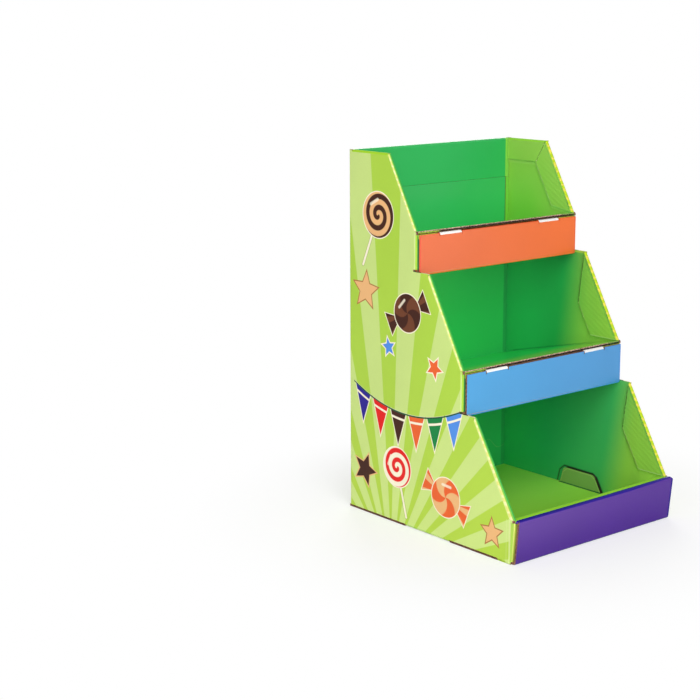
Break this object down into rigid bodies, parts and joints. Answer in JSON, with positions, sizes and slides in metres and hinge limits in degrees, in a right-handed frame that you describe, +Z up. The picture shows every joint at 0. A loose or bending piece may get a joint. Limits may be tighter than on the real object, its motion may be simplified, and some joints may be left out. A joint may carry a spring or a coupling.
{
  "type": "cardboard display stand",
  "caption": "Tiered counter display folded from printed corrugated board, with stepped sides, sloping open shelves and a rolled front lip, for small packs of goods.",
  "frame": {"origin": "middle of the footprint, on the surface that the display stands on", "axes": "+Z up, +X to the display's right as a shopper sees it, the open front faces -Y"},
  "size_m": [0.306, 0.3346, 0.508],
  "materials": {
    "body_board": "printed corrugated board, glossy varnish, brown raw edges",
    "base_board": "printed corrugated board, purple and lime, glossy varnish",
    "shelf_board": "printed corrugated board, green, glossy varnish",
    "middle_fascia_board": "printed corrugated board, blue, glossy varnish",
    "top_fascia_board": "printed corrugated board, orange, glossy varnish"
  },
  "bodies": {
    "root": {"body": "body_board", "base_tray": "base_board", "middle_shelf": "shelf_board", "top_shelf": "shelf_board", "middle_fascia": "middle_fascia_board", "top_fascia": "top_fascia_board"}
  },
  "joints": []
}
